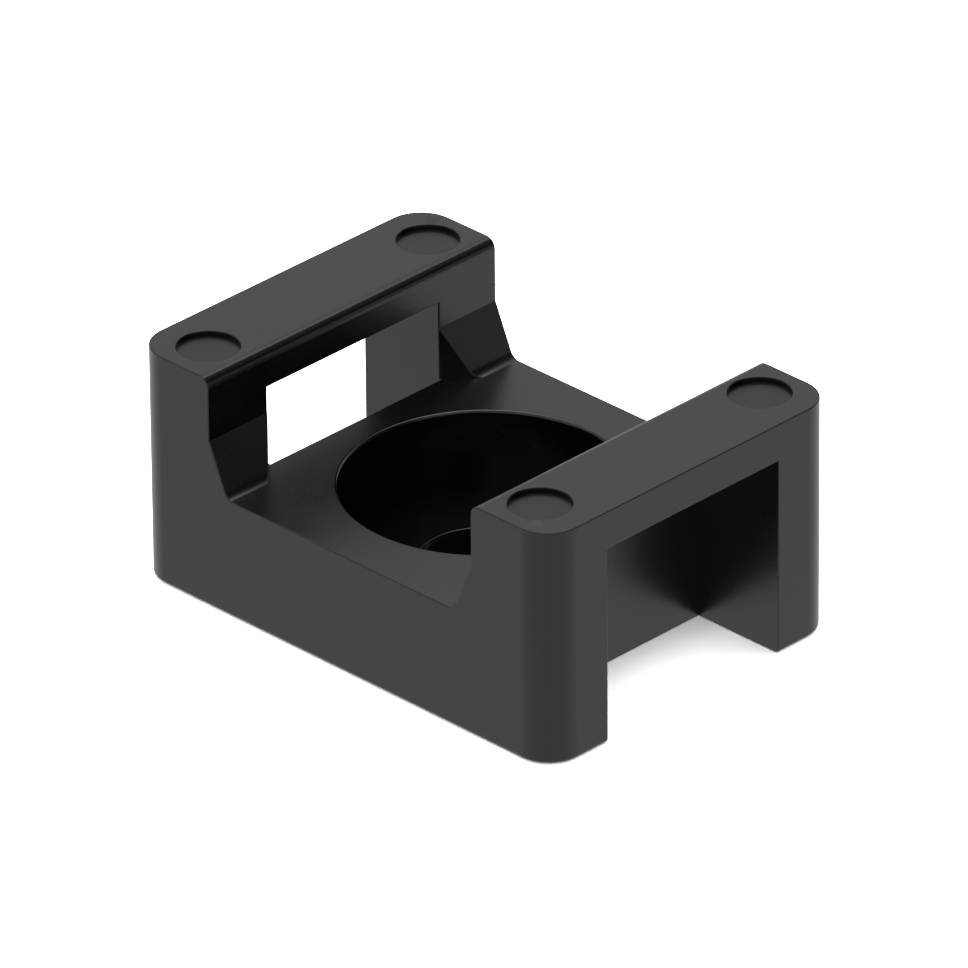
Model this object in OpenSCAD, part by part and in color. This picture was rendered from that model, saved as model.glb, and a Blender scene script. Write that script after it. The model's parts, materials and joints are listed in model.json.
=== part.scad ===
// Screw-down cable tie mount, moulded in one piece.
// The mount stands on z = 0 with its screw hole on the Z axis. X runs along its length, from one end
// wall to the other, and Y runs across it, along the bundle that lies in the saddle. A tie passes
// under the bar of one end wall, over the screw head and out under the bar of the other.
// All sizes are in millimetres.

/* [Body] */
// Length over the outer faces of the two end walls
mount_l = 22.2; // [21.8:0.1:30]
// Width across the mount, along the bundle
mount_w = 15.6; // [15:0.1:24]
// Height from the panel to the top of the end walls
mount_h = 10; // [9.6:0.1:14]
// Radius of the four upright outer corners
corner_r = 1.5; // [1:0.1:2.5]
// Radius of the lower edge around the outside
base_r = 0.2; // [0.1:0.05:0.9]

/* [End walls] */
// Thickness of each end wall along the length
wall_t = 4.1; // [3.9:0.1:4.2]
// Height of the plate between the walls, which is the floor of the saddle
plate_t = 5.1; // [4:0.1:5.4]
// Radius of each wall's upper inner edge, which the bundle lies against
lip_r = 0.45; // [0.1:0.05:1]
// Distance that each foot reaches from its wall, along the floor
foot_run = 0.95; // [0.3:0.05:1.2]
// Height of each foot up its wall
foot_rise = 2.2; // [1:0.1:3]
// Distance that each foot's inner side spreads away from the tie slot by its toe
foot_flare = 0.95; // [0.2:0.05:1.5]

/* [Tie slots] */
// Width of the slot for the tie, which is open below
slot_w = 9.3; // [7:0.1:10]
// Thickness of the bar over each slot
bar_t = 1.6; // [1.2:0.1:2.2]
// Distance from a bar's inner face back to the plate's end, where the two mould halves meet
shut_off = 0.1; // [0.05:0.05:0.2]

/* [Screw] */
// Diameter of the screw hole
screw_d = 5.3; // [3.2:0.1:6.4]
// Diameter of the pocket for the screw head
head_d = 11.2; // [8:0.1:11.6]
// Thickness of the plate left under the screw head
seat_t = 1.6; // [1.2:0.1:3]
// Width of the bevel around the mouth of the pocket
rim_bevel = 0.2; // [0.05:0.05:0.4]

/* [Ejector marks] */
// Diameter of the round marks in the tops of the walls
mark_d = 2.5; // [1.5:0.1:2.6]
// Distance from the middle of a mark to the wall's outer face
mark_from_end = 2.25; // [1.8:0.05:2.3]
// Distance from the middle of a mark to the side of the mount
mark_from_side = 1.85; // [1.7:0.05:3]
// Depth of the marks
mark_depth = 0.2; // [0.1:0.05:0.6]

/* [Hidden] */
$fn = 96;
// Distance that a cutting shape runs past the surface it cuts
past = 1;
half_l = mount_l / 2;
half_w = mount_w / 2;
// Inner face of an end wall
wall_x = half_l - wall_t;
// Top of a tie slot, which is the underside of its bar
slot_top = mount_h - bar_t;

// Upright outline of a block of the given width, with its lower edges rounded
module upright(width) {
    translate([-width / 2, base_r]) square([width, mount_h - base_r]);
    translate([base_r - width / 2, 0]) square([width - 2 * base_r, mount_h]);
    for (side = [-1, 1])
        translate([side * (width / 2 - base_r), base_r])
            circle(base_r);
}

// Draws its children at both ends of the mount
module each_end() {
    children();
    mirror([1, 0, 0]) children();
}

// Draws its children at all four corners of the mount
module each_corner() {
    each_end() {
        children();
        mirror([0, 1, 0]) children();
    }
}

// Stands an outline, drawn along and up, across the mount from y = low to y = high
module across(low, high) {
    translate([0, high, 0])
        rotate([90, 0, 0])
            linear_extrude(high - low)
                children();
}

// The whole mount as a plain block, with round corners
module block() {
    across(corner_r - half_w, half_w - corner_r) upright(mount_l);
    rotate([0, 0, 90]) across(corner_r - half_l, half_l - corner_r) upright(mount_w);
    for (x = [-1, 1], y = [-1, 1])
        translate([x * (half_l - corner_r), y * (half_w - corner_r), 0])
            rotate_extrude()
                intersection() {
                    upright(2 * corner_r);
                    square([corner_r, mount_h]);
                }
}

// Section of the wall at the +X end, with its upper inner edge rounded
module wall_section() {
    difference() {
        translate([wall_x, -past]) square([wall_t + past, mount_h + 2 * past]);
        difference() {
            translate([wall_x - past, mount_h - lip_r]) square([lip_r + past, lip_r + 2 * past]);
            translate([wall_x + lip_r, mount_h - lip_r]) circle(lip_r);
        }
    }
}

// Section of the plate and both walls, which leaves the saddle open
module saddle_section() {
    translate([-half_l - past, -past]) square([mount_l + 2 * past, plate_t + past]);
    each_end() wall_section();
}

// Slope at the bottom of a wall beside the tie slot, which keeps the bundle off the corner
module foot() {
    intersection() {
        across(slot_w / 2, half_w)
            polygon([
                [wall_x + foot_run, plate_t - foot_run],
                [wall_x + foot_run, plate_t + foot_rise],
                [wall_x, plate_t + foot_rise],
                [wall_x - foot_run, plate_t],
                [wall_x - foot_run, plate_t - foot_run],
            ]);
        linear_extrude(mount_h)
            polygon([
                [wall_x + foot_run, slot_w / 2],
                [wall_x, slot_w / 2],
                [wall_x - foot_run, slot_w / 2 + foot_flare],
                [wall_x - foot_run, half_w],
                [wall_x + foot_run, half_w],
            ]);
    }
}

// Space for the tie under a bar, open below and at the end
module tie_slot() {
    translate([wall_x - shut_off, -slot_w / 2, -past])
        cube([wall_t + shut_off + past, slot_w, slot_top + past]);
}

// Screw hole, and the pocket that keeps the screw head below the tie
module screw_cavity() {
    translate([0, 0, -past])
        cylinder(d = screw_d, h = plate_t + 2 * past);
    translate([0, 0, seat_t])
        cylinder(d = head_d, h = plate_t - seat_t + past);
    translate([0, 0, plate_t - rim_bevel])
        cylinder(r1 = head_d / 2, r2 = head_d / 2 + 2 * rim_bevel, h = 2 * rim_bevel);
}

module ejector_mark() {
    translate([half_l - mark_from_end, half_w - mark_from_side, mount_h - mark_depth])
        cylinder(d = mark_d, h = mark_depth + past);
}

module mount_body() {
    color([0.07, 0.07, 0.075])
    difference() {
        union() {
            intersection() {
                block();
                across(-half_w - past, half_w + past) saddle_section();
            }
            each_corner() foot();
        }
        each_end() tie_slot();
        screw_cavity();
        each_corner() ejector_mark();
    }
}

mount_body();
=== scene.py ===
"""Screw-down cable tie mount of black nylon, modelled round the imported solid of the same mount.

The moulding gets the small roundings that its mould gives it and a fine-grained satin finish, and
stands on a plain pale floor in soft light. X runs along the mount from wall to wall, Y across it
and Z up from the panel. All lengths are in metres.
"""

import json
import math
from contextlib import contextmanager

import bmesh
import bpy
from mathutils import Matrix, Vector


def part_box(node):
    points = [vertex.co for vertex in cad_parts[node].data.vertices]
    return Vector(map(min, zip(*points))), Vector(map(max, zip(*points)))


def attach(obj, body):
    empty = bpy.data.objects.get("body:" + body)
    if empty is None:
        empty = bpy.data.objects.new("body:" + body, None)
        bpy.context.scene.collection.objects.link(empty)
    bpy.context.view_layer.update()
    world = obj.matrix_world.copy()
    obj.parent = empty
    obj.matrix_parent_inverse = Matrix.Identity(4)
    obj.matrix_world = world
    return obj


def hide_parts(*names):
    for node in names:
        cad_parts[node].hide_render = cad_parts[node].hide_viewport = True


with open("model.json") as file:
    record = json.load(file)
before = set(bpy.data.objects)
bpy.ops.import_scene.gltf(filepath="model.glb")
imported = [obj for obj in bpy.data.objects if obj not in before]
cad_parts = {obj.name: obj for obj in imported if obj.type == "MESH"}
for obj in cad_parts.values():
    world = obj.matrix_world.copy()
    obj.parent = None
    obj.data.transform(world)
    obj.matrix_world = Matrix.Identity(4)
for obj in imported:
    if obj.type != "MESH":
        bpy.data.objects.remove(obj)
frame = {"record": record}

bl_info = {
    "name": "Cable tie mount",
    "version": (1, 0, 0),
    "blender": (4, 5, 0),
    "location": "3D View > Sidebar > Tie Mount",
    "description": "Models a screw-down cable tie mount of black nylon and its pale stage",
    "category": "Add Mesh",
}

MM = 0.001
NODE = "mount_body"
LOW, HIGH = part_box(NODE)
# Point that the camera and the lamp face
MIDDLE = Vector((0, 0, HIGH.z / 2))
BORES = {
    mount["name"]: mount["dims"] for mount in frame["record"]["mounts"] if mount["kind"] == "bore"
}
SCREW_RADIUS = BORES["screw_hole"]["r_mm"] * MM
HEAD_RADIUS = BORES["screw_head_pocket"]["r_mm"] * MM
# Thickness of the plate under the screw's head, which the screw hole runs through
SEAT = BORES["screw_hole"]["length_mm"] * MM
# Slack when a place in the mesh is compared with a size
NEAR = 0.004 * MM
# Points closer together than this become one
MERGE = NEAR / 4
# Slack of a cut along a plane
CUT_SLACK = NEAR / 100
# Depth that the feet are sunk, so that none of their faces lies in the plate's top
SINK = NEAR / 2
# Distance that a cutting shape runs past the surface it cuts
PAST = 2 * MM
# Least share of a direction that lies along an axis when it counts as parallel to that axis
PARALLEL = 0.99
# Least and greatest rise of the normal of a sloping face
SLOPING = (0.1, 0.9)
# Least area of a large face
LARGE = MM * MM
# Greatest turn between two faces that are one flat face
FLAT = math.radians(0.5)
# Least turn between two faces that makes an edge sharp
SHARP = math.radians(20)
# Middle of the values that a noise gives
NOISE_MIDDLE = 0.5
# Cosines of the angles from the middle of the room's dark gap at which it begins and is darkest
GAP_EDGE = 0.78
GAP_CORE = 0.95


def length(name, description, default):
    """A length that the user can change."""
    return bpy.props.FloatProperty(
        name=name, description=description, default=default, min=0.0, precision=5, unit="LENGTH"
    )


def share(name, description, default):
    """A number from 0 to 1 that the user can change."""
    return bpy.props.FloatProperty(
        name=name, description=description, default=default, min=0.0, max=1.0, subtype="FACTOR"
    )


def ratio(name, description, default):
    """A number of 1 or more that the user can change."""
    return bpy.props.FloatProperty(
        name=name, description=description, default=default, min=1.0, precision=3
    )


def angle(name, description, degrees):
    """An angle that the user can change."""
    return bpy.props.FloatProperty(
        name=name, description=description, default=math.radians(degrees), unit="ROTATION"
    )


class MountSizes(bpy.types.PropertyGroup):
    """Sizes of the moulding."""

    corner_radius: length("Corner radius", "Radius of the four upright outer corners", 1.5 * MM)
    base_radius: length("Base radius", "Radius of the lower edge around the outside", 0.2 * MM)
    wall: length("Wall", "Thickness of each end wall along the length", 4.1 * MM)
    plate: length("Plate", "Height of the plate between the walls", 5.1 * MM)
    lip_radius: length("Lip radius", "Radius of each wall's upper inner edge", 0.45 * MM)
    foot_run: length("Foot run", "Distance that each foot reaches from its wall", 0.95 * MM)
    foot_rise: length("Foot rise", "Height of each foot up its wall", 2.2 * MM)
    foot_curve: length("Foot curve", "How far the curve at each foot's toe reaches", 0.3 * MM)
    foot_flare: length("Foot flare", "How far each foot's inner side spreads out", 0.95 * MM)
    slot: length("Tie slot", "Width of each slot for the tie", 9.3 * MM)
    bar: length("Bar", "Thickness of the bar over each slot", 1.6 * MM)
    shut_off: length("Shut-off", "From a bar's inner face back to the plate's end", 0.1 * MM)
    rim_radius: length("Rim radius", "Radius of the edge round the head's pocket", 0.12 * MM)
    mark: length("Mark", "Diameter of the ejector marks on the walls", 2.5 * MM)
    mark_from_end: length("Mark from end", "From a mark's middle to the wall's outside", 2.25 * MM)
    mark_from_side: length("Mark from side", "From a mark's middle to the mount's side", 1.85 * MM)
    mark_depth: length("Mark depth", "Depth of the ejector marks", 0.2 * MM)
    edge_radius: length("Edge radius", "Radius that the mould leaves on other edges", 0.05 * MM)

    @property
    def wall_face(self):
        """Distance from the middle of the mount to the inner face of an end wall."""
        return HIGH.x - self.wall

    @property
    def plate_top(self):
        """Height of the saddle's floor."""
        return LOW.z + self.plate


class NylonFinish(bpy.types.PropertyGroup):
    """Finish of the moulded nylon."""

    colour: bpy.props.FloatVectorProperty(
        name="Colour",
        description="Colour of the nylon",
        default=(0.002, 0.002, 0.0021),
        min=0.0,
        max=1.0,
        subtype="COLOR",
    )
    mottle: share("Mottle", "How much the colour varies from place to place", 0.2)
    cloud: length("Cloud", "Width of the broad changes of colour and gloss", 2.2 * MM)
    patch: length("Patch", "Width of the small changes of colour", 0.5 * MM)
    patch_share: share("Patch share", "Share of the mottle that the small changes make up", 0.4)
    roughness: share("Roughness", "Roughness of the moulded surface", 0.3)
    turned_polish: share("Turned polish", "How much smoother a turned core leaves the pocket", 0.12)
    cloud_gloss: share("Cloud gloss", "How much the roughness varies from place to place", 0.1)
    grain_gloss: share("Grain gloss", "How much the roughness varies with the grain", 0.08)
    index: ratio("Index", "Refractive index of the nylon", 1.48)
    pin_index: ratio("Pin index", "Refractive index that makes the ejector marks duller", 1.4)
    grain: length("Grain", "Width of the grains that the mould's sparked steel leaves", 0.11 * MM)
    grain_height: length("Grain height", "Height of those grains", 0.0022 * MM)


class StageSettings(bpy.types.PropertyGroup):
    """Camera, floor and light."""

    azimuth: angle("Azimuth", "Turn of the camera round the mount, from the front", 44.8)
    elevation: angle("Elevation", "Height of the camera above the horizon", 29.25)
    roll: angle("Roll", "Turn of the camera about its own line of sight", -0.5)
    distance: length("Distance", "Distance from the camera to the mount", 538.3 * MM)
    view_width: length("View width", "Width of what the camera sees at the mount", 36.96 * MM)
    floor_size: length("Floor size", "Side of the square floor", 1200 * MM)
    floor_drop: length("Floor drop", "Gap between the mount's underside and the floor", 0.02 * MM)
    floor_tone: share("Floor tone", "How pale the floor is", 0.9)
    # Painted shade: the floor under the screw hole is dark to all but the camera, standing in for
    # the shade beneath the mount
    painted_hole_shade: share("Hole tone", "How pale the floor is under the screw hole", 0.05)
    floor_glow: share("Floor glow", "Share of the floor's reflection that is plain white", 1.0)
    floor_glare: ratio("Floor glare", "How many times brighter the camera sees the floor", 4.5)
    room_light: share("Room light", "Strength at which the surroundings light the mount", 0.55)
    room_gloss: share("Room gloss", "Strength that the surroundings gain in reflections", 0.29)
    gap_depth: share("Gap depth", "Strength that reflections lose in the room's dark gap", 0.8)
    gap_way: bpy.props.FloatVectorProperty(
        name="Gap way",
        description="Direction from the mount to the middle of the dark gap",
        default=(0.585, 0.573, 0.55),
        subtype="DIRECTION",
    )
    lamp_place: bpy.props.FloatVectorProperty(
        name="Lamp place",
        description="Place of the soft lamp overhead",
        default=(-0.15, 0.2, 0.8),
        subtype="TRANSLATION",
        unit="LENGTH",
    )
    lamp_size: length("Lamp size", "Side of the soft lamp overhead", 600 * MM)
    lamp_power: bpy.props.FloatProperty(
        name="Lamp power",
        description="Power of the soft lamp overhead",
        default=2.4,
        min=0.0,
        unit="POWER",
    )


def take(piece):
    """Selects one object and nothing else."""
    bpy.ops.object.select_all(action="DESELECT")
    piece.select_set(True)
    bpy.context.view_layer.objects.active = piece


@contextmanager
def edit_mode(piece):
    """Keeps the piece in edit mode while the block runs."""
    take(piece)
    bpy.ops.object.mode_set(mode="EDIT")
    yield
    bpy.ops.object.mode_set(mode="OBJECT")


def select_edges(piece, wanted):
    """In edit mode, selects only the edges that pass the test."""
    bpy.ops.mesh.select_mode(type="EDGE")
    bpy.ops.mesh.select_all(action="DESELECT")
    shape = bmesh.from_edit_mesh(piece.data)
    for edge in filter(wanted, shape.edges):
        edge.select_set(True)
    bmesh.update_edit_mesh(piece.data)


def select_faces(piece, wanted):
    """In edit mode, selects only the faces that pass the test."""
    bpy.ops.mesh.select_mode(type="FACE")
    bpy.ops.mesh.select_all(action="DESELECT")
    shape = bmesh.from_edit_mesh(piece.data)
    for face in filter(wanted, shape.faces):
        face.select_set(True)
    bmesh.update_edit_mesh(piece.data)


def all_points(edge, test):
    """Whether both ends of the edge pass the test."""
    return all(test(vert.co) for vert in edge.verts)


def round_edges(radius, segments):
    """Rounds the selected edges."""
    bpy.ops.mesh.bevel(offset=radius, segments=segments, affect="EDGES", clamp_overlap=False)


def extrude(way):
    """Extrudes the selected faces by this much."""
    bpy.ops.mesh.extrude_region_move(TRANSFORM_OT_translate={"value": way})


def cut_away(point, outwards):
    """Cuts the mesh in edit mode along a plane, closes the cut and drops what lies outwards."""
    bpy.ops.mesh.select_all(action="SELECT")
    bpy.ops.mesh.bisect(
        plane_co=point,
        plane_no=Vector(outwards).normalized(),
        use_fill=True,
        clear_outer=True,
        threshold=CUT_SLACK,
    )


def apply_modifier(piece, kind, **settings):
    """Adds a modifier with these settings and applies it."""
    take(piece)
    modifier = piece.modifiers.new(kind.title(), kind)
    for name, value in settings.items():
        setattr(modifier, name, value)
    bpy.ops.object.modifier_apply(modifier=modifier.name)


def cut_out(piece, space):
    """Cuts the space out of the piece, and removes the shape that stood for it."""
    apply_modifier(piece, "BOOLEAN", object=space, operation="DIFFERENCE", solver="EXACT")
    bpy.data.meshes.remove(space.data)


def mirrored(piece, axis):
    """Adds the piece's mirror image, on the other side of the mount's middle, to the piece."""
    across = [name == axis for name in "XYZ"]
    apply_modifier(piece, "MIRROR", use_axis=across, use_mirror_merge=False)


def settle(name):
    """Names the new object and moves its place and size into its mesh."""
    shape = bpy.context.active_object
    shape.name = name
    bpy.ops.object.transform_apply(location=True, rotation=True, scale=True)
    return shape


def add_block(name, low, high):
    """Adds a box between two corners."""
    bpy.ops.object.select_all(action="DESELECT")
    bpy.ops.mesh.primitive_cube_add(size=1, location=(low + high) / 2)
    bpy.context.active_object.scale = high - low
    return settle(name)


def add_round_bar(name, centre, radius, low, high, vertices=96):
    """Adds an upright round bar from one height to another."""
    bpy.ops.object.select_all(action="DESELECT")
    bpy.ops.mesh.primitive_cylinder_add(
        vertices=vertices, radius=radius, depth=high - low, location=(*centre, (low + high) / 2)
    )
    return settle(name)


def slab(sizes):
    """The mount as a solid slab with round corners and a round lower edge."""

    def is_upright(edge):
        first, second = edge.verts
        return abs((first.co - second.co).normalized().z) > PARALLEL

    def is_lowest(edge):
        return all_points(edge, lambda point: point.z < LOW.z + NEAR)

    piece = add_block("nylon_mount", LOW, HIGH)
    with edit_mode(piece):
        select_edges(piece, is_upright)
        round_edges(sizes.corner_radius, segments=12)
        select_edges(piece, is_lowest)
        round_edges(sizes.base_radius, segments=6)
    return piece


def feet(sizes):
    """The four sloped feet that tie the end walls to the plate, curved where they meet it."""
    ground = sizes.plate_top - SINK
    low = Vector((sizes.wall_face - sizes.foot_run, sizes.slot / 2, ground - PAST))
    high = Vector((sizes.wall_face + PAST, HIGH.y + 2 * PAST, ground + sizes.foot_rise))
    toe = Vector((low.x, ground))

    def is_toe(edge):
        return all_points(edge, lambda point: (point.xz - toe).length < NEAR)

    foot = add_block("feet", low, high)
    with edit_mode(foot):
        cut_away((sizes.wall_face, 0, high.z), (-sizes.foot_rise, 0, sizes.foot_run))
        select_faces(foot, lambda face: face.normal.x < -PARALLEL)
        extrude((-sizes.foot_curve - PAST, 0, 0))
        select_edges(foot, is_toe)
        round_edges(sizes.foot_curve, segments=8)
        cut_away((sizes.wall_face, low.y, 0), (-sizes.foot_flare, -sizes.foot_run, 0))
    mirrored(foot, "X")
    mirrored(foot, "Y")
    return foot


def saddle(sizes):
    """The space between the end walls, above the plate and the feet."""
    low = Vector((-sizes.wall_face, LOW.y - PAST, sizes.plate_top))
    high = Vector((sizes.wall_face, HIGH.y + PAST, HIGH.z + PAST))
    space = add_block("saddle", low, high)
    cut_out(space, feet(sizes))
    return space


def tie_slots(sizes):
    """The spaces for the tie under both bars, open below and at the ends."""
    low = Vector((sizes.wall_face - sizes.shut_off, -sizes.slot / 2, LOW.z - PAST))
    high = Vector((HIGH.x + PAST, sizes.slot / 2, HIGH.z - sizes.bar))
    slot = add_block("tie_slots", low, high)
    mirrored(slot, "X")
    return slot


def screw_cavity(sizes):
    """The screw hole, widened into the pocket for the screw's head."""
    seat_top = LOW.z + SEAT
    widen = HEAD_RADIUS / SCREW_RADIUS
    cavity = add_round_bar("screw_cavity", (0, 0), SCREW_RADIUS, LOW.z - PAST, seat_top)
    with edit_mode(cavity):
        select_faces(cavity, lambda face: face.normal.z > PARALLEL)
        # A ring in place, which then widens to the pocket's floor
        extrude((0, 0, 0))
        bpy.ops.transform.resize(value=(widen, widen, 1), center_override=(0, 0, seat_top))
        extrude((0, 0, sizes.plate_top + PAST - seat_top))
    return cavity


def ejector_marks(sizes):
    """The round marks that the ejector pins leave in the tops of the walls."""
    centre = (HIGH.x - sizes.mark_from_end, HIGH.y - sizes.mark_from_side)
    bottom = HIGH.z - sizes.mark_depth
    top = HIGH.z + PAST
    marks = add_round_bar("ejector_marks", centre, sizes.mark / 2, bottom, top, vertices=48)
    mirrored(marks, "X")
    mirrored(marks, "Y")
    return marks


def tidy_mesh(piece):
    """Joins the doubled points and the flat faces that the cutting left in pieces."""
    with edit_mode(piece):
        bpy.ops.mesh.select_all(action="SELECT")
        bpy.ops.mesh.remove_doubles(threshold=MERGE)
        bpy.ops.mesh.dissolve_limited(angle_limit=FLAT)


def round_lips(piece, sizes):
    """Rounds the upper inner edges of the end walls and the edge round the pocket."""

    def on_lip(point):
        return abs(abs(point.x) - sizes.wall_face) < NEAR and point.z > HIGH.z - NEAR

    def on_rim(point):
        level = abs(point.z - sizes.plate_top) < NEAR
        return level and abs(point.xy.length - HEAD_RADIUS) < NEAR

    with edit_mode(piece):
        select_edges(piece, lambda edge: all_points(edge, on_lip))
        round_edges(sizes.lip_radius, segments=6)
        select_edges(piece, lambda edge: all_points(edge, on_rim))
        round_edges(sizes.rim_radius, segments=5)


def soften_edges(piece, radius):
    """Gives every outward edge that is still sharp the small radius that the mould leaves."""
    with edit_mode(piece):
        select_edges(piece, lambda edge: edge.is_convex and edge.calc_face_angle() > SHARP)
        round_edges(radius, segments=5)


def flatten_slopes(piece):
    """Shades the feet flat, so that the walls don't lighten them, and the lips in flat strips."""
    least, most = SLOPING
    with edit_mode(piece):
        select_faces(piece, lambda face: least < face.normal.z < most and face.calc_area() > LARGE)
        bpy.ops.mesh.faces_shade_flat()


def model_mount(sizes):
    """The whole moulding as one closed mesh."""
    piece = slab(sizes)
    for space in (saddle, tie_slots, screw_cavity, ejector_marks):
        cut_out(piece, space(sizes))
    tidy_mesh(piece)
    round_lips(piece, sizes)
    soften_edges(piece, sizes.edge_radius)
    take(piece)
    bpy.ops.object.shade_smooth_by_angle(angle=SHARP)
    flatten_slopes(piece)
    apply_modifier(piece, "WEIGHTED_NORMAL", keep_sharp=True)
    return piece


class Shader:
    """The nodes of one material or world, and the one way in which nodes are added to them."""

    def __init__(self, owner):
        owner.use_nodes = True
        self.tree = owner.node_tree
        self.tree.nodes.clear()

    def add(self, kind, settings=None, inputs=None, output=0):
        """Adds a node, sets it, gives its sockets their values or links, and returns one output."""
        node = self.tree.nodes.new(kind)
        for name, value in (settings or {}).items():
            setattr(node, name, value)
        for name, value in (inputs or {}).items():
            if isinstance(value, Value):
                self.tree.links.new(value.socket, node.inputs[name])
            else:
                node.inputs[name].default_value = value
        return Value(self, node.outputs[output]) if node.outputs else None

    def ray(self, kind):
        """1 for rays of this kind and 0 for all others."""
        return self.add("ShaderNodeLightPath", output=kind)

    def mix(self, share_of_second, first, second):
        """Mixes two surfaces."""
        return self.add("ShaderNodeMixShader", inputs={0: share_of_second, 1: first, 2: second})


class Value:
    """A node's output, on which Python's operators add Math nodes."""

    def __init__(self, shader, socket):
        self.shader = shader
        self.socket = socket

    def math(self, operation, other=0.0):
        """Adds a Math node on this value, and on another where the operation needs one."""
        return self.shader.add("ShaderNodeMath", {"operation": operation}, {0: self, 1: other})

    def __add__(self, other):
        return self.math("ADD", other)

    def __sub__(self, other):
        return self.math("SUBTRACT", other)

    def __rsub__(self, other):
        return self.shader.add("ShaderNodeMath", {"operation": "SUBTRACT"}, {0: other, 1: self})

    def __mul__(self, other):
        return self.math("MULTIPLY", other)

    def __lt__(self, other):
        return self.math("LESS_THAN", other)

    def __gt__(self, other):
        return self.math("GREATER_THAN", other)

    def __abs__(self):
        return self.math("ABSOLUTE")

    __radd__ = __add__
    __rmul__ = __mul__


def from_centre(x, y):
    """Distance from the origin of the point (x, y)."""
    return (x * x + y * y).math("SQRT")


def black_nylon(finish, sizes):
    """Satin black nylon with the fine grain of a spark-finished mould."""
    material = bpy.data.materials.new("black_nylon")
    shader = Shader(material)
    place = shader.add("ShaderNodeTexCoord", output="Object")
    # From metres to millimetres
    to_mm = {"Vector": place, "Scale": (1 / MM, 1 / MM, 1 / MM)}
    place = shader.add("ShaderNodeMapping", inputs=to_mm)
    x, y, z = (
        shader.add("ShaderNodeSeparateXYZ", inputs={"Vector": place}, output=axis) for axis in "XYZ"
    )

    def noise(width, detail=2.0, roughness=0.5):
        inputs = {"Vector": place, "Scale": MM / width, "Detail": detail, "Roughness": roughness}
        return shader.add("ShaderNodeTexNoise", inputs=inputs)

    grain = noise(finish.grain, detail=3.0, roughness=0.6)
    cloud = noise(finish.cloud)
    mottle = (1 - finish.patch_share) * cloud + finish.patch_share * noise(finish.patch)
    darkest = [channel * (1 - finish.mottle) for channel in finish.colour]
    palest = [channel * (1 + finish.mottle) for channel in finish.colour]
    colour = shader.add(
        "ShaderNodeMix",
        {"data_type": "RGBA"},
        {"Factor": mottle, "A": (*darkest, 1), "B": (*palest, 1)},
        "Result",
    )
    # The pocket with its rim, from halfway up the screw hole
    turned = from_centre(x, y) < (HEAD_RADIUS + sizes.rim_radius) / MM
    turned = turned * (z > (LOW.z + SEAT / 2) / MM)
    roughness = finish.roughness - finish.turned_polish * turned
    roughness = roughness + finish.cloud_gloss * (cloud - NOISE_MIDDLE)
    roughness = roughness + finish.grain_gloss * (grain - NOISE_MIDDLE)
    bump = {"Strength": 1.0, "Distance": finish.grain_height, "Height": grain}
    normal = shader.add("ShaderNodeBump", inputs=bump)

    def nylon(index):
        inputs = {"Base Color": colour, "Roughness": roughness, "IOR": index, "Normal": normal}
        return shader.add("ShaderNodeBsdfPrincipled", inputs=inputs)

    # The bottoms of the ejector marks, and no part of the walls' tops
    along = abs(x) - (HIGH.x - sizes.mark_from_end) / MM
    aside = abs(y) - (HIGH.y - sizes.mark_from_side) / MM
    pin_mark = from_centre(along, aside) < sizes.mark / 2 / MM
    pin_mark = pin_mark * (z > (HIGH.z - 2 * sizes.mark_depth) / MM)
    pin_mark = pin_mark * (z < (HIGH.z - sizes.mark_depth / 2) / MM)
    surface = shader.mix(pin_mark, nylon(finish.index), nylon(finish.pin_index))
    shader.add("ShaderNodeOutputMaterial", inputs={"Surface": surface})
    return material


def pale_floor(stage):
    """Plain pale floor, clear from below, too bright to the camera to show faint shadows. Under the
    screw hole it is painted dark as shade, for all rays but the camera's.
    """
    material = bpy.data.materials.new("pale_floor")
    shader = Shader(material)

    def matt(tone):
        return shader.add("ShaderNodeBsdfDiffuse", inputs={"Color": (tone, tone, tone, 1)})

    white = shader.add("ShaderNodeEmission", inputs={"Color": (1, 1, 1, 1), "Strength": 1.0})
    place = shader.add("ShaderNodeTexCoord", output="Object")
    away = shader.add("ShaderNodeVectorMath", {"operation": "LENGTH"}, {0: place}, "Value")
    below = shader.add("ShaderNodeNewGeometry", output="Backfacing")
    clear = shader.add("ShaderNodeBsdfTransparent")
    glow = stage.floor_glow * shader.ray("Is Glossy Ray")
    look = shader.mix(glow, matt(stage.floor_tone), white)
    # Painted shade: within the screw hole's radius, reflections and bounced light see a dark floor
    # in place of the shade there
    look = shader.mix(away > SCREW_RADIUS, matt(stage.painted_hole_shade), look)
    bright = matt(stage.floor_tone * stage.floor_glare)
    look = shader.mix(shader.ray("Is Camera Ray"), look, bright)
    look = shader.mix(below, look, clear)
    shader.add("ShaderNodeOutputMaterial", inputs={"Surface": look})
    return material


def lay_floor(stage):
    """The floor, just clear of the mount's underside."""
    bpy.ops.object.select_all(action="DESELECT")
    place = (0, 0, LOW.z - stage.floor_drop)
    bpy.ops.mesh.primitive_plane_add(size=stage.floor_size, location=place)
    floor = settle("floor")
    floor.data.materials.append(pale_floor(stage))


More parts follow.
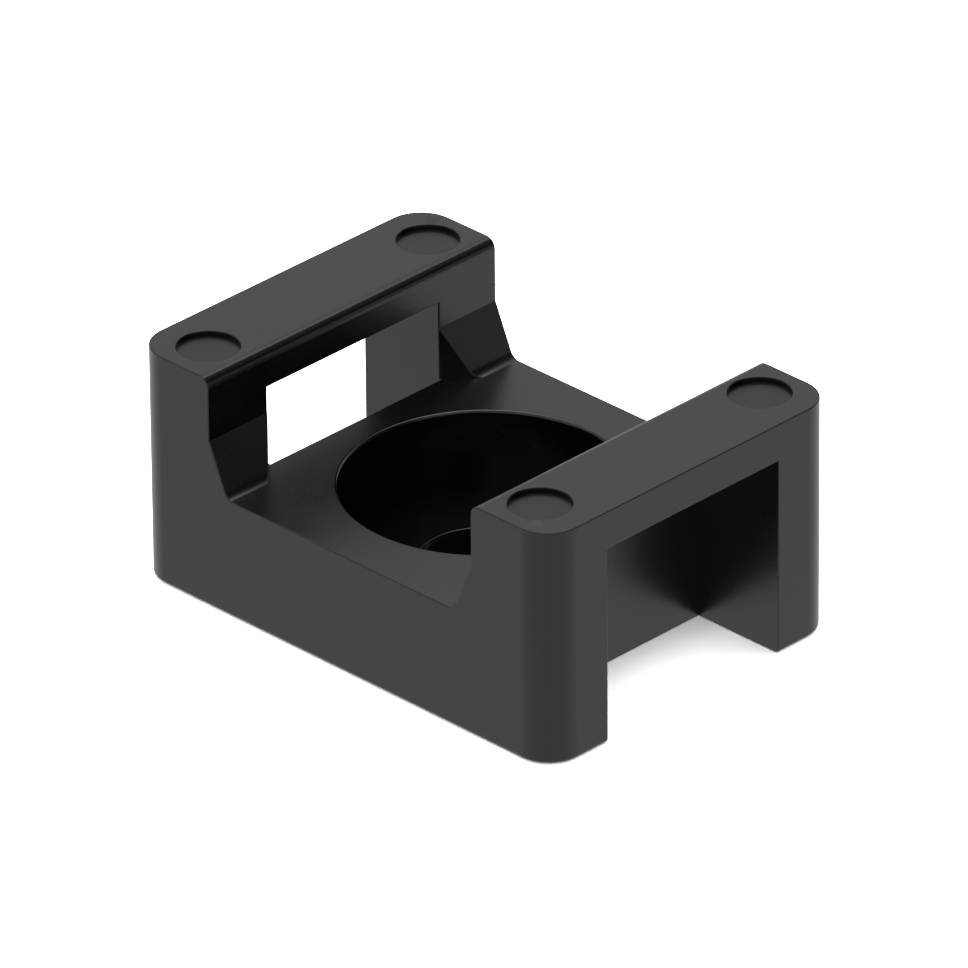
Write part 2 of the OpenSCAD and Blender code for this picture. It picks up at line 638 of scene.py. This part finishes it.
def light_world(stage):
    """White surroundings with a dark gap high on one side, which only reflections show."""
    world = bpy.data.worlds.new("studio")
    bpy.context.scene.world = world
    shader = Shader(world)
    way = shader.add("ShaderNodeTexCoord", output="Generated")
    towards_gap = shader.add(
        "ShaderNodeVectorMath",
        {"operation": "DOT_PRODUCT"},
        {0: way, 1: stage.gap_way.normalized()},
        "Value",
    )
    gap = shader.add(
        "ShaderNodeMapRange",
        {"interpolation_type": "SMOOTHSTEP"},
        {"Value": towards_gap, "From Min": GAP_EDGE, "From Max": GAP_CORE},
    )
    seen = shader.ray("Is Camera Ray")
    reflected = shader.ray("Is Glossy Ray") * (stage.room_gloss - stage.gap_depth * gap)
    strength = stage.room_light + (1 - stage.room_light) * seen + reflected
    white = shader.add("ShaderNodeBackground", inputs={"Color": (1, 1, 1, 1), "Strength": strength})
    shader.add("ShaderNodeOutputWorld", inputs={"Surface": white})


def aim(thing, place, target):
    """Puts a lamp or camera somewhere and turns it to face the target."""
    thing.location = place
    thing.rotation_euler = (target - place).to_track_quat("-Z", "Y").to_euler()


def hang_lamp(stage):
    """The square soft lamp overhead, which faces the mount."""
    lamp = bpy.data.lights.new("overhead", "AREA")
    lamp.shape = "SQUARE"
    lamp.size = stage.lamp_size
    lamp.energy = stage.lamp_power
    softbox = bpy.data.objects.new("overhead", lamp)
    bpy.context.scene.collection.objects.link(softbox)
    softbox.visible_camera = False
    aim(softbox, stage.lamp_place, MIDDLE)


def set_camera(stage):
    """The camera, at its angle round the mount."""
    camera = bpy.data.cameras.new("camera")
    camera.lens = camera.sensor_width * stage.distance / stage.view_width
    camera.clip_start = 10 * MM
    camera.clip_end = 10000 * MM
    viewer = bpy.data.objects.new("camera", camera)
    bpy.context.scene.collection.objects.link(viewer)
    level = math.cos(stage.elevation)
    back = Vector(
        (
            math.sin(stage.azimuth) * level,
            -math.cos(stage.azimuth) * level,
            math.sin(stage.elevation),
        )
    )
    aim(viewer, MIDDLE + back * stage.distance, MIDDLE)
    viewer.matrix_world = viewer.matrix_basis @ Matrix.Rotation(stage.roll, 4, "Z")
    bpy.context.scene.camera = viewer


class MODEL_OT_tie_mount(bpy.types.Operator):
    """Model the nylon mount and give it its finish"""

    bl_idname = "mesh.model_tie_mount"
    bl_label = "Model mount"

    def execute(self, context):
        scene = context.scene
        piece = model_mount(scene.mount_sizes)
        piece.data.materials.clear()
        piece.data.materials.append(black_nylon(scene.nylon_finish, scene.mount_sizes))
        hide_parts(NODE)
        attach(piece, "root")
        return {"FINISHED"}


class SCENE_OT_tie_mount_stage(bpy.types.Operator):
    """Set up the pale floor, the soft light and the camera"""

    bl_idname = "scene.stage_tie_mount"
    bl_label = "Set up stage"

    def execute(self, context):
        stage = context.scene.mount_stage
        lay_floor(stage)
        light_world(stage)
        hang_lamp(stage)
        set_camera(stage)
        context.scene.view_settings.view_transform = "Standard"
        return {"FINISHED"}


class VIEW3D_PT_tie_mount(bpy.types.Panel):
    """Sizes, finish and stage of the tie mount"""

    bl_idname = "VIEW3D_PT_tie_mount"
    bl_label = "Cable tie mount"
    bl_space_type = "VIEW_3D"
    bl_region_type = "UI"
    bl_category = "Tie Mount"

    def draw(self, context):
        scene = context.scene
        layout = self.layout
        for group in (scene.mount_sizes, scene.nylon_finish, scene.mount_stage):
            box = layout.box()
            for name in group.__annotations__:
                box.prop(group, name)
        layout.operator(MODEL_OT_tie_mount.bl_idname)
        layout.operator(SCENE_OT_tie_mount_stage.bl_idname)


CLASSES = (
    MountSizes,
    NylonFinish,
    StageSettings,
    MODEL_OT_tie_mount,
    SCENE_OT_tie_mount_stage,
    VIEW3D_PT_tie_mount,
)


def register():
    for cls in CLASSES:
        bpy.utils.register_class(cls)
    bpy.types.Scene.mount_sizes = bpy.props.PointerProperty(type=MountSizes)
    bpy.types.Scene.nylon_finish = bpy.props.PointerProperty(type=NylonFinish)
    bpy.types.Scene.mount_stage = bpy.props.PointerProperty(type=StageSettings)


def unregister():
    del bpy.types.Scene.mount_sizes
    del bpy.types.Scene.nylon_finish
    del bpy.types.Scene.mount_stage
    for cls in reversed(CLASSES):
        bpy.utils.unregister_class(cls)


def main():
    register()
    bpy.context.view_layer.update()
    bpy.ops.mesh.model_tie_mount()
    bpy.ops.scene.stage_tie_mount()


if __name__ == "__main__":
    main()
